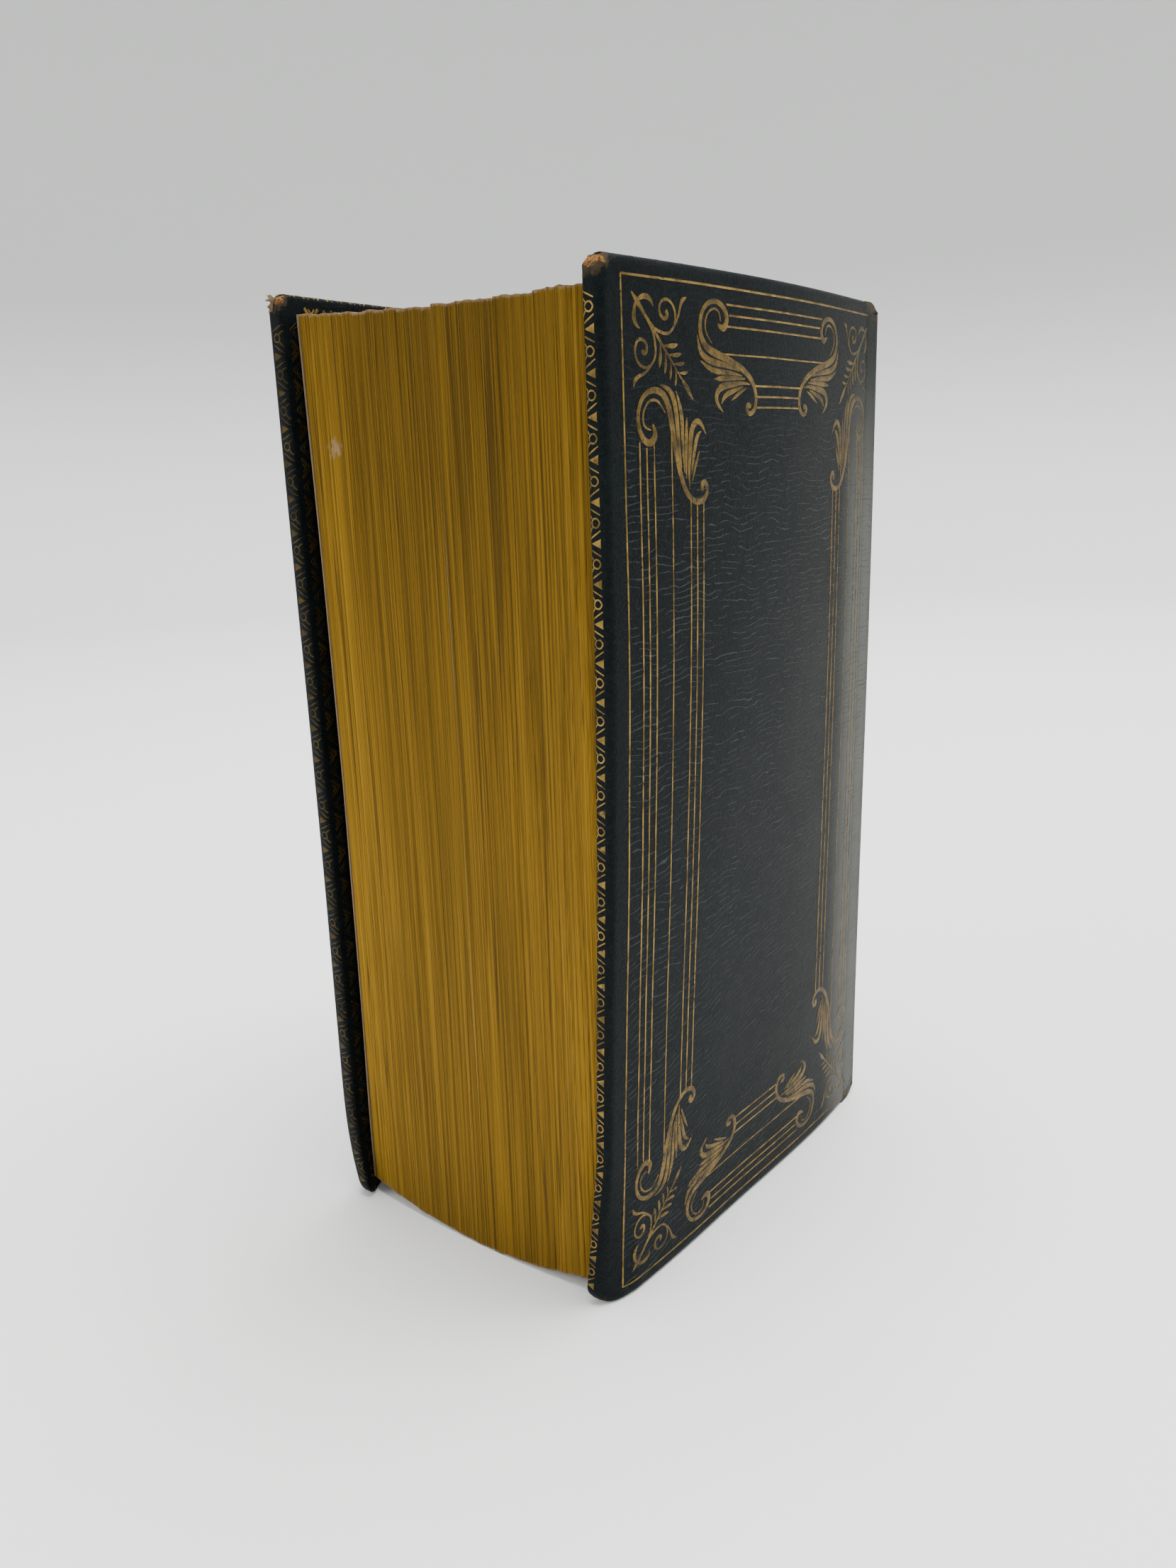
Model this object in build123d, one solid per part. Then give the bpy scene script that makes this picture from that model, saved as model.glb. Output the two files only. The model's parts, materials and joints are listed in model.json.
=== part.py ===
from build123d import *
import math
import os

# A thick leather-bound prayer book standing on its tail, its fore edge towards -Y and its spine
# towards +Y. The front cover is at -X and the back cover at +X. Millimetres, +Z up. The origin is at
# the bottom centre of the closed book. Each half of the book is built at +X and mirrored to -X.

# ---- Driving sizes -------------------------------------------------------------------------------
board_height = 150.0        # tail to head, leather included
board_width = 80.5          # fore edge to joint, leather included
text_thickness = 53.0       # all the leaves between the two covers
square = 2.8                # how far the boards stand past the leaves at head, tail and fore edge

# ---- Covers --------------------------------------------------------------------------------------
board_thickness = 2.1
leather_outside = 0.45      # covering leather on the outer face and round the edges
leather_inside = 0.35       # leather turned in round the board
turn_in_width = 7.5
pastedown_thickness = 0.25
board_bow = 2.3             # how far the middle of a board stands out from its fore edge and joint
outer_edge_round = 1.0
inner_edge_round = 0.7
cover_clearance = 0.3       # between a closed cover and the leaves

# ---- Leaves --------------------------------------------------------------------------------------
gatherings_per_half = 12
middle_gap = 0.2            # where the book opens, between its two halves
flyleaf_thickness = 0.25
flyleaf_gap = 0.1
fold_round = 0.45           # round of each gathering's folded edge

# ---- Spine ---------------------------------------------------------------------------------------
spine_round = 5.0           # how far the middle of the spine stands out from its shoulders
shoulder_height = 1.2       # ledge that the backed gatherings make for the boards
lining_thickness = 0.5
spine_leather = 0.8
cord_diameter = 2.0
cord_places = (0.30, 0.52, 0.75)    # heights of the raised sewing supports, as shares of the height
band_width = 3.6
band_round = 0.6
slip_length = 14.0          # frayed end of a cord, glued to the inside of the board
slip_width = 7.0
slip_thickness = 0.4
kettle_inset = 9.0          # kettle stitch, from the end of the leaves
thread_diameter = 0.7
kerf_clearance = 0.05
endband_radius = 1.05
endband_end_gap = 1.5       # the endband stops this far short of the outermost leaf

# ---- Cutting -------------------------------------------------------------------------------------
cut_margin = 1.0            # how far a cutter reaches past what it cuts
touching = 0.01             # what lies nearer than this is at the same place

# ---- Worked-out sizes ----------------------------------------------------------------------------
cover_thickness = leather_inside + board_thickness + leather_outside
half_text = text_thickness / 2
board_inner_x = half_text + cover_clearance
text_low = square
text_high = board_height - square

leather_over_panel = lining_thickness + spine_leather
leather_over_cord = cord_diameter + spine_leather
fore_edge_to_joint = board_width - square
spine_depth = shoulder_height + spine_round + leather_over_cord
book_depth = board_width + spine_depth

board_fore_y = -book_depth / 2
joint_y = board_fore_y + board_width
text_fore_y = board_fore_y + square
spine_outermost_y = book_depth / 2

# A bowed board's inner face is one arc through its fore edge, its middle and its joint.
bow_radius = (board_width**2 / 4 + board_bow**2) / (2 * board_bow)
bow_centre_x = board_inner_x + board_bow - bow_radius
bow_centre_y = (board_fore_y + joint_y) / 2


def bowed_x(offset, y):
    """X of the surface at a radial offset from the board's inner face."""
    return bow_centre_x + math.sqrt((bow_radius + offset) ** 2 - (y - bow_centre_y) ** 2)


# The cover turns on its outer edge at the joint, and the spine is as wide as the closed covers there.
cover_hinge_x = bowed_x(cover_thickness, joint_y)
spine_half_width = cover_hinge_x

# The spine's fold line is one arc over both shoulders, and every layer on it is concentric.
fold_half_width = spine_half_width - spine_leather
spine_radius = (fold_half_width**2 + spine_round**2) / (2 * spine_round)
spine_centre_y = joint_y + shoulder_height + spine_round - spine_radius

cord_heights = [share * board_height for share in cord_places]


def bowed_plate(inner, outer, y_low, y_high, z_low, z_high):
    """A plate that follows the board's bow, between two offsets from the board's inner face."""
    y_mid = (y_low + y_high) / 2
    corners = [(bowed_x(offset, y), y) for offset, y in
               ((inner, y_low), (inner, y_high), (outer, y_high), (outer, y_low))]
    outline = [
        ThreePointArc(corners[0], (bowed_x(inner, y_mid), y_mid), corners[1]),
        Line(corners[1], corners[2]),
        ThreePointArc(corners[2], (bowed_x(outer, y_mid), y_mid), corners[3]),
        Line(corners[3], corners[0]),
    ]
    return Pos(0, 0, z_low) * extrude(make_face(outline), z_high - z_low, dir=(0, 0, 1))


def spine_arc_y(offset, x):
    return spine_centre_y + math.sqrt((spine_radius + offset) ** 2 - x**2)


def spine_slab(offset, x_low, x_high, z_low, z_high, y_low=joint_y):
    """Everything behind the joint line, out to the spine arc at that offset."""
    x_mid = (x_low + x_high) / 2
    start = (x_low, spine_arc_y(offset, x_low))
    end = (x_high, spine_arc_y(offset, x_high))
    outline = [
        Line((x_low, y_low), start),
        ThreePointArc(start, (x_mid, spine_arc_y(offset, x_mid)), end),
        Line(end, (x_high, y_low)),
        Line((x_high, y_low), (x_low, y_low)),
    ]
    return Pos(0, 0, z_low) * extrude(make_face(outline), z_high - z_low, dir=(0, 0, 1))


def spine_tube(offset, radius, x_high, z):
    """A round cord along the spine from the middle gap to x_high, centred on the arc at that offset."""
    reach = spine_radius + offset
    first = math.asin(middle_gap / 2 / reach)
    last = math.asin(x_high / reach)
    points = [(reach * math.sin(a), spine_centre_y + reach * math.cos(a), z)
              for a in (first, (first + last) / 2, last)]
    path = ThreePointArc(*points)
    profile = Plane(origin=path @ 0, z_dir=path % 0) * Circle(radius)
    return sweep(profile, path)


# ---- Cover pieces --------------------------------------------------------------------------------
def laced_slips():
    """The flattened cord ends, let into the board's inner face and glued down."""
    slips = []
    for z in cord_heights:
        slips.append(bowed_plate(
            leather_inside, leather_inside + slip_thickness,
            joint_y - slip_length, joint_y, z - slip_width / 2, z + slip_width / 2))
    return slips


def board():
    core = bowed_plate(
        leather_inside, leather_inside + board_thickness,
        board_fore_y + leather_outside, joint_y,
        leather_outside, board_height - leather_outside)
    for slip in laced_slips():
        core -= slip
    return core


def long_free_edges(plate, outside):
    """A cover's long edges at head, tail and fore edge, on its outer or its inner face."""
    chosen = []
    for edge in plate.edges():
        middle = edge.center()
        is_outside = middle.X > bowed_x(cover_thickness / 2, middle.Y)
        is_free = middle.Y < joint_y - touching
        if is_free and is_outside == outside and edge.length > 2 * cover_thickness:
            chosen.append(edge)
    return chosen


def cover_leather():
    """One skin over the outer face and the three free edges, turned in on the inner face."""
    skin = bowed_plate(0, cover_thickness, board_fore_y, joint_y, 0, board_height)
    skin = fillet(long_free_edges(skin, True), outer_edge_round)
    skin = fillet(long_free_edges(skin, False), inner_edge_round)
    skin -= bowed_plate(
        leather_inside, leather_inside + board_thickness,
        board_fore_y + leather_outside, joint_y,
        leather_outside, board_height - leather_outside)
    skin -= bowed_plate(
        -cut_margin, leather_inside,
        board_fore_y + turn_in_width, joint_y,
        turn_in_width, board_height - turn_in_width)
    return skin


def pastedown():
    return bowed_plate(
        leather_inside - pastedown_thickness, leather_inside,
        board_fore_y + turn_in_width, joint_y,
        turn_in_width, board_height - turn_in_width)


# ---- Leaves --------------------------------------------------------------------------------------
def flyleaf():
    return Pos(half_text - flyleaf_thickness, text_fore_y, text_low) * Box(
        flyleaf_thickness, fore_edge_to_joint, text_high - text_low,
        align=(Align.MIN, Align.MIN, Align.MIN))


def kettle_heights():
    return [text_low + kettle_inset, text_high - kettle_inset]


def gatherings():
    """Folded sections, side by side. Behind the joint line they fan out to make the shoulder."""
    first = middle_gap / 2
    last = half_text - flyleaf_thickness - flyleaf_gap
    step = (last - first) / gatherings_per_half
    fan = (fold_half_width - first) / (last - first)
    made = []
    for n in range(gatherings_per_half):
        near, far = first + n * step, first + (n + 1) * step
        fold_near, fold_far = first + n * step * fan, first + (n + 1) * step * fan
        outline = Polyline(
            (near, text_fore_y), (near, joint_y), (fold_near, spine_arc_y(0, fold_near)),
            (fold_far, spine_arc_y(0, fold_far)), (far, joint_y), (far, text_fore_y),
            close=True)
        section = Pos(0, 0, text_low) * extrude(make_face(outline), text_high - text_low, dir=(0, 0, 1))
        folds = section.edges().filter_by(Axis.Z).filter_by(
            lambda e: e.center().Y > joint_y + shoulder_height / 2)
        section = fillet(folds, fold_round)
        kerf_depth = thread_diameter + 2 * kerf_clearance
        for z in kettle_heights():
            kerf = spine_slab(
                fold_round, first / 2, fold_half_width + cut_margin, z - kerf_depth / 2, z + kerf_depth / 2)
            kerf -= spine_slab(
                -kerf_depth, first / 2, fold_half_width + cut_margin, z - kerf_depth / 2, z + kerf_depth / 2)
            section -= kerf
        made.append(section)
    return made


# ---- Spine pieces --------------------------------------------------------------------------------
def kettle_thread():
    reach = fold_half_width - fold_round - thread_diameter
    return [spine_tube(-thread_diameter / 2 - kerf_clearance, thread_diameter / 2, reach, z)
            for z in kettle_heights()]


def cords():
    reach = fold_half_width - cord_diameter / 2
    return [spine_tube(cord_diameter / 2, cord_diameter / 2, reach, z) for z in cord_heights]


def lining():
    """Paper panels glued to the folds between the cords."""
    breaks = [text_low] + cord_heights + [text_high]
    panels = []
    for n, (low, high) in enumerate(zip(breaks, breaks[1:])):
        z_low = low + (cord_diameter / 2 if n else 0)
        z_high = high - (cord_diameter / 2 if high != text_high else 0)
        panel = spine_slab(lining_thickness, middle_gap / 2, fold_half_width, z_low, z_high)
        panels.append(panel - spine_slab(0, middle_gap / 4, spine_half_width, z_low, z_high))
    return panels


def spine_cover():
    """Half of the leather over the spine, drawn up over each cord as a raised band."""
    x_low = middle_gap / 2
    skin = spine_slab(leather_over_panel, x_low, spine_half_width, 0, board_height)
    for z in cord_heights:
        band = spine_slab(
            leather_over_cord, x_low, spine_half_width, z - band_width / 2, z + band_width / 2)
        crests = [e for e in band.edges()
                  if e.center().Y > joint_y + shoulder_height + leather_over_panel
                  and abs(abs(e.center().Z - z) - band_width / 2) < touching
                  and e.length > spine_half_width / 2]
        skin += fillet(crests, band_round)
    hollow_x = spine_half_width - spine_leather
    skin -= spine_slab(lining_thickness, x_low - cut_margin, hollow_x,
                       -cut_margin, board_height + cut_margin)
    for z in cord_heights:
        skin -= spine_slab(
            cord_diameter, x_low - cut_margin, hollow_x, z - cord_diameter / 2, z + cord_diameter / 2)
    return skin


def endband(z):
    reach = half_text - flyleaf_thickness - flyleaf_gap - endband_end_gap
    return spine_tube(-endband_radius, endband_radius, reach, z)


# ---- Writing the parts ---------------------------------------------------------------------------
def write(name, *solids):
    whole = solids[0] if len(solids) == 1 else Compound(children=list(solids))
    export_step(whole, os.path.join("parts", name + ".step"))


def half_of_the_book():
    """Every piece of the +X half, as name to a list of solids."""
    pieces = {
        "board": [board()],
        "cover_leather": [cover_leather()],
        "pastedown": [pastedown()],
        "laced_cord_slips": laced_slips(),
        "flyleaf": [flyleaf()],
        "spine_leather": [spine_cover()],
        "spine_lining": lining(),
        "sewing_cords": cords(),
        "kettle_stitch_thread": kettle_thread(),
        "head_band": [endband(text_high + endband_radius)],
        "tail_band": [endband(text_low - endband_radius)],
    }
    for n, section in enumerate(gatherings(), 1):
        pieces[f"gathering_{n:02d}"] = [section]
    return pieces


def main():
    os.makedirs("parts", exist_ok=True)
    for name, solids in half_of_the_book().items():
        write("back_" + name, *solids)
        write("front_" + name, *[mirror(solid, Plane.YZ) for solid in solids])
    print(f"cover hinge at x {cover_hinge_x:.4f}, y {joint_y:.4f}")
    print(f"flyleaf hinge at x {half_text:.4f}, y {joint_y:.4f}")
    print(f"middle opening at x 0, y {spine_outermost_y:.4f}")
    print(f"board tail edge at x {bowed_x(cover_thickness / 2, bow_centre_y):.4f}, y {bow_centre_y:.4f}")


main()
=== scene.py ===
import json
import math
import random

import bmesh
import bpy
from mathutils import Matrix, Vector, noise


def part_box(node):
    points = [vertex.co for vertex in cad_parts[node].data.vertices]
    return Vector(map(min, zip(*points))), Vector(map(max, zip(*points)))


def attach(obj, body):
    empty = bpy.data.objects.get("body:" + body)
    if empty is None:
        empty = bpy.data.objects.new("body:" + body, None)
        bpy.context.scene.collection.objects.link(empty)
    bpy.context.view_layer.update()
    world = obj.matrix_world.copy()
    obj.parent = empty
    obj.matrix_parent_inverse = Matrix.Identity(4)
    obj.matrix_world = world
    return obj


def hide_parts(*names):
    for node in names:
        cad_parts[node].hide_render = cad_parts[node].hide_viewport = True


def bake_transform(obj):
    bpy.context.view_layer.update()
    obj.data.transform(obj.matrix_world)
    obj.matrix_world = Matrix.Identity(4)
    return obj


bl_info = {
    "name": "Prayer book",
    "version": (1, 0, 0),
    "blender": (4, 5, 0),
    "location": "3D View > Sidebar > Prayer book",
    "description": "Finishes a thick leather-bound prayer book with gilt edges and gold tooling",
    "category": "Object",
}

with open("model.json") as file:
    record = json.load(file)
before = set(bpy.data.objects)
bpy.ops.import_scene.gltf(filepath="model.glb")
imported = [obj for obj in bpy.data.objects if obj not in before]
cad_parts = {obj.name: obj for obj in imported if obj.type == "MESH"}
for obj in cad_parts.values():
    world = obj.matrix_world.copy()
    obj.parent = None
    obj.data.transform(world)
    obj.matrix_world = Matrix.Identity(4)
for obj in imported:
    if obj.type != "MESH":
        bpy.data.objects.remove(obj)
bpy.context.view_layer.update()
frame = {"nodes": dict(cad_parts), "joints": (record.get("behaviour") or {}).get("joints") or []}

# ---- Sizes, in millimetres
# A cover has flat coordinates: u from its fore edge to the joint, v from tail to head, and an offset
# from its inner face outwards. bend() carries them to the bowed cover.
M = 0.001
SIDES = {"back": 1, "front": -1}


def box_mm(node):
    """The low and high corner of a CAD node."""
    low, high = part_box(node)
    return low / M, high / M


cover_low, cover_high = box_mm("back_cover_leather")
leaf_low, leaf_high = box_mm("back_flyleaf")
first_low, first_high = box_mm("back_gathering_01")
spine_high = box_mm("back_spine_leather")[1]

HEIGHT = cover_high.z - cover_low.z
FORE_Y = cover_low.y
JOINT_Y = cover_high.y
WIDTH = JOINT_Y - FORE_Y
HINGES = {joint["name"]: joint for joint in frame["joints"]}
HINGE_X = abs(HINGES["back_cover_hinge"]["pos_m"][0]) / M
SPINE_Y = spine_high.y
INNER_X = cover_low.x
BOW = 2.3  # how far the middle of a board stands out from its fore edge and joint
THICK = cover_high.x - INNER_X - BOW
OUTER_ROUND = 1.0
INNER_ROUND = 0.7
TURN_IN = 7.5  # width of the leather turned in on a cover's inner face
HEAD_CORNER = 2.4
TAIL_CORNER = 3.0
SKIN = 0.4  # leather over a board
BOW_RADIUS = (WIDTH**2 / 4 + BOW**2) / (2 * BOW)
BOW_X = INNER_X + BOW - BOW_RADIUS
BOW_Y = (FORE_Y + JOINT_Y) / 2

TEXT_FORE_Y = first_low.y
TEXT_LOW = first_low.z
TEXT_HIGH = first_high.z
HALF_TEXT = leaf_high.x
BANDS = [share * HEIGHT for share in (0.30, 0.52, 0.75)]
SPINE_ROUND = 5.0
SPINE_SKIN = 0.8
FOLD_HALF = HINGE_X - SPINE_SKIN
SPINE_RADIUS = (FOLD_HALF**2 + SPINE_ROUND**2) / (2 * SPINE_ROUND)
PANEL_OFFSET = 1.3  # the leather's outside between the bands, from the folds of the leaves
CORD_OFFSET = 2.8  # the same over a band
SPINE_CENTRE_Y = SPINE_Y - CORD_OFFSET - SPINE_RADIUS


def smooth(t):
    """Eases a share from 0 to 1, and holds it there."""
    t = min(max(t, 0.0), 1.0)
    return t * t * (3 - 2 * t)


# ---- User settings
def length_setting(name, description, default):
    return bpy.props.FloatProperty(name=name, description=description, default=default * M, unit="LENGTH")


def colour_setting(name, description, default):
    return bpy.props.FloatVectorProperty(
        name=name, description=description, subtype="COLOR", size=3, default=default)


class BookShape(bpy.types.PropertyGroup):
    curl: length_setting(
        "Board curl", "How far the middle of each fore edge stands out from its corners", 0.9)
    slump: length_setting(
        "Leaf slump", "How far the middle leaves have dropped at the tail of the fore edge", 2.55)
    lean: length_setting(
        "Tail lean", "How far the tail of the back cover has leaned in over the years", 3.3)
    tooling_height: length_setting("Tooling height", "How far the gold stands off the leather", 0.045)
    leaves: bpy.props.IntProperty(
        name="Leaf ridges", description="Ridges on the edge of each gathering", default=10, min=2)


class BookColours(bpy.types.PropertyGroup):
    leather: colour_setting("Leather", "Covering leather", (0.0030, 0.0050, 0.0058))
    gold: colour_setting("Tooling gold", "Gold leaf tooled into the leather", (0.212, 0.132, 0.030))
    gilt: colour_setting("Edge gold", "Gilt on the edges of the leaves", (0.196, 0.107, 0.0066))
    paper: colour_setting("Paper", "Printed leaves", (0.62, 0.53, 0.38))
    endpaper: colour_setting("Endpaper", "Pastedowns and flyleaves", (0.24, 0.168, 0.105))


def shape():
    return bpy.context.scene.book_shape


def colours():
    return bpy.context.scene.book_colours


# ---- Materials
def operation(name, swapped=False):
    """A method of Value for one operation on two values."""
    def combine(self, other):
        return self.maths(name, other, self) if swapped else self.maths(name, self, other)
    return combine


class Value:
    """A shader socket that takes Python's arithmetic."""

    def __init__(self, finish, socket):
        self.finish = finish
        self.socket = socket

    def maths(self, operation, *values):
        return self.finish.node("Math", {"operation": operation}, dict(enumerate(values)))

    __add__, __radd__ = operation("ADD"), operation("ADD", swapped=True)
    __sub__, __rsub__ = operation("SUBTRACT"), operation("SUBTRACT", swapped=True)
    __mul__, __truediv__ = operation("MULTIPLY"), operation("DIVIDE")
    most = operation("MAXIMUM")

    def __abs__(self):
        return self.maths("ABSOLUTE", self)

    def wave(self):
        """Rises from 0 to 0.5 and back with every step of 1."""
        return self.maths("PINGPONG", self, 0.5)

    def clamp(self):
        return self.finish.node("Clamp", {}, {0: self})

    def step(self, low, high):
        """0 below low and 1 above high, smooth between."""
        settings = {"interpolation_type": "SMOOTHSTEP"}
        return self.finish.node("MapRange", settings, {"Value": self, "From Min": low, "From Max": high})


class Finish:
    """A material and the nodes that it is made of."""

    def __init__(self, name):
        self.material = bpy.data.materials.new(name)
        self.material.use_nodes = True
        self.tree = self.material.node_tree
        self.shader = self.tree.nodes["Principled BSDF"]

    def node(self, kind, settings, inputs, output=0):
        """Adds a node and gives one of its outputs. The settings are its properties or a ramp's stops."""
        made = self.tree.nodes.new("ShaderNode" + kind)
        for name, value in settings.items():
            if name == "stops":
                ramp = made.color_ramp
                while len(ramp.elements) < len(value):
                    ramp.elements.new(0.5)
                for element, (position, colour) in zip(ramp.elements, value):
                    element.position = position
                    element.color = (*colour, 1)
            else:
                setattr(made, name, value)
        for name, value in inputs.items():
            self.feed(made.inputs[name], value)
        return Value(self, made.outputs[output])

    def feed(self, socket, value):
        """Links a value to a socket, or sets it there."""
        if isinstance(value, Value):
            self.tree.links.new(value.socket, socket)
        elif socket.type == "RGBA" and len(value) == 3:
            socket.default_value = (*value, 1)
        else:
            socket.default_value = value

    def place(self, scale=(1, 1, 1)):
        """Object coordinates in millimetres, stretched by scale."""
        at = self.node("TexCoord", {}, {}, 3)
        return self.node("Mapping", {}, {"Vector": at, "Scale": [s / M for s in scale]})

    def axis(self, name):
        """One object coordinate in millimetres."""
        return self.node("SeparateXYZ", {}, {0: self.place()}, "XYZ".index(name))

    def noise(self, size, scale=(1, 1, 1), detail=2.0, roughness=0.5, distortion=0.0, shift=0.0):
        """Noise from 0 to 1, with features of about that size in millimetres."""
        at = self.place([s / size for s in scale])
        if shift:
            at = self.node("VectorMath", {"operation": "ADD"}, {0: at, 1: (shift, shift, shift)})
        return self.node("TexNoise", {}, {
            "Vector": at, "Scale": 1.0, "Detail": detail, "Roughness": roughness, "Distortion": distortion})

    def mix(self, share, first, second):
        return self.node("Mix", {"data_type": "RGBA"}, {0: share, 6: first, 7: second}, 2)

    def attribute(self, name):
        return self.node("Attribute", {"attribute_name": name}, {}, 2)

    def bump(self, height, distance):
        """A bump as deep as distance, in millimetres."""
        return self.node("Bump", {}, {"Height": height, "Distance": distance * M, "Strength": 1.0})

    def surface(self, **inputs):
        """Feeds the shader's sockets, each by its name in lower case, and gives the finished material."""
        for name, value in inputs.items():
            self.feed(self.shader.inputs[name.replace("_", " ").title().replace("Ior", "IOR")], value)
        return self.material


JOINT_SHEEN_AND_GOLD_LOSS = 0.5  # how strong the painted sheen on the leather is, and how much of the gold is gone, towards the joint
CREASE_STEP = 0.95  # from one crease to the next
# a painted sheen: the paler grey that the leather turns towards the joint
PAINTED_SHEEN = (0.015, 0.016, 0.014)
# a painted sheen: the pale band beside the joint, high on the back cover
PAINTED_SHEEN_BAND = (0.135, 0.135, 0.122)
# the lighter colour of the creases: a painted highlight along them
CREASE_HIGHLIGHT = (0.048, 0.053, 0.052)
HANDLED = (0.045, 0.034, 0.020)
RAW_SKIN = ((0.06, 0.024, 0.008), (0.27, 0.135, 0.042))


def leather_finish(name, along="y"):
    """Dark glazed goatskin with a creased grain that runs across the cover, rubbed at its wear. Its colour
    holds painted highlights on the creases and a painted sheen towards the joint.
    """
    finish = Finish(name)
    base = Vector(colours().leather)
    run = {"y": (1, 0.4, 0.8), "x": (0.4, 1, 0.8)}[along]
    sway = finish.noise(1.5, run, 2.0, 0.5) * 1.5 + finish.noise(8.0, detail=1.0, shift=8.0) * 2.4
    slant = finish.axis(along.upper()) * finish.axis("Z").step(95.0, 20.0) * 0.22
    fold = ((finish.axis("Z") - slant) / CREASE_STEP + sway).wave()
    crease = fold.step(0.38, 0.49) * finish.noise(1.3, run, 2.0, 0.6, shift=3.0).step(0.44, 0.54)
    fine = abs(finish.noise(0.7, (1, 1, 1), 2.0, 0.5, 0.5, shift=7.0) - 0.5)
    fine_crease = 1 - fine.step(0.0, 0.08)
    patches = finish.noise(13.0, detail=3.0)
    broken = (patches.step(0.25, 0.60) * 0.6 + 0.4) * (finish.axis("Z").step(142.0, 118.0) * 0.8 + 0.2)
    broken = broken * finish.axis("Y").step(FORE_Y + 2.0, FORE_Y + 5.0)
    pores = finish.noise(0.28, detail=2.0, shift=3.0)
    worn = finish.attribute("wear")
    rubbed = (worn + (finish.noise(0.9, detail=4.0, roughness=0.65) - 0.5) * 0.9).step(0.42, 0.62)
    raw = (worn + (finish.noise(0.6, detail=4.0, roughness=0.7, shift=5.0) - 0.5) * 0.7).step(0.74, 0.86)
    # painted sheen: the leather's colour is mixed towards a paler grey from the fore edge to the joint
    sheen_towards_joint = (finish.axis("Y") + (patches - 0.5) * 14).step(-18.0, JOINT_Y)
    dull = finish.mix(patches, base * 0.55, base * 1.25)
    dull = finish.mix(sheen_towards_joint * JOINT_SHEEN_AND_GOLD_LOSS, dull, PAINTED_SHEEN)
    # painted sheen: a pale band beside the joint, high on the back cover
    rim = finish.axis("Y").step(20.0, 30.0) * finish.axis("Z").step(146.0, 112.0)
    rim = rim * finish.axis("Y").step(JOINT_Y + 2.6, JOINT_Y - 0.5) * finish.axis("X").step(0.0, 5.0)
    dull = finish.mix(rim * JOINT_SHEEN_AND_GOLD_LOSS, dull, PAINTED_SHEEN_BAND)
    # painted highlight: the creases and fine creases are lightened in colour, on top of their bump
    creased = finish.mix((crease * broken * 0.7 + fine_crease * 0.06).clamp(), dull, CREASE_HIGHLIGHT)
    handled = finish.mix(rubbed * 0.75, creased, HANDLED)
    colour = finish.mix(raw, handled, finish.mix(pores.step(0.35, 0.65), *RAW_SKIN))
    rough = 0.38 + patches * 0.16 + crease * 0.08 + rubbed * 0.25
    relief = crease * broken * 0.8 + fine_crease * 0.2 + pores * 0.22 - rubbed * 0.4
    return finish.surface(
        base_color=colour, roughness=rough, specular_ior_level=0.04, normal=finish.bump(relief, 0.10))


def tooling_finish(name, brightness=1.0, engraved=0.0):
    """Gold leaf in the leather, rubbed through here and there. The large tools have engraved lines."""
    finish = Finish(name)
    gold = Vector(colours().gold) * brightness
    tone = finish.noise(2.2, detail=3.0)
    rub = finish.noise(0.5, detail=4.0, roughness=0.7)
    far = (finish.axis("Y") + (tone - 0.5) * 8).step(0.0, JOINT_Y)
    gone = (rub + (finish.noise(16.0, detail=2.0, shift=2.0) - 0.5) * 0.35 + far * 0.05).step(0.58, 0.68)
    if engraved:
        lines = abs(finish.noise(1.1, detail=1.0, distortion=1.5, shift=4.0) - 0.5)
        gone = gone.most((1 - lines.step(0.008, 0.035)) * engraved)
    gone = gone.most(far * JOINT_SHEEN_AND_GOLD_LOSS)
    leaf = finish.mix(tone.step(0.3, 0.7), gold * 0.40, gold * 1.25)
    colour = finish.mix(gone, leaf, Vector(colours().leather) * 1.5)
    return finish.surface(
        base_color=colour, metallic=0.75 - gone * 0.75, roughness=0.40 + rub * 0.18 + gone * 0.1,
        specular_ior_level=0.15, normal=finish.bump(rub, 0.02))


SCUFF = (-21.2, TEXT_FORE_Y, 129.3)
SCUFF_COLOUR = (0.30, 0.23, 0.17)
GAP_COLOUR = (0.045, 0.024, 0.004)
TORN_PAPER = ((0.07, 0.040, 0.018), (0.27, 0.185, 0.105))


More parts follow.
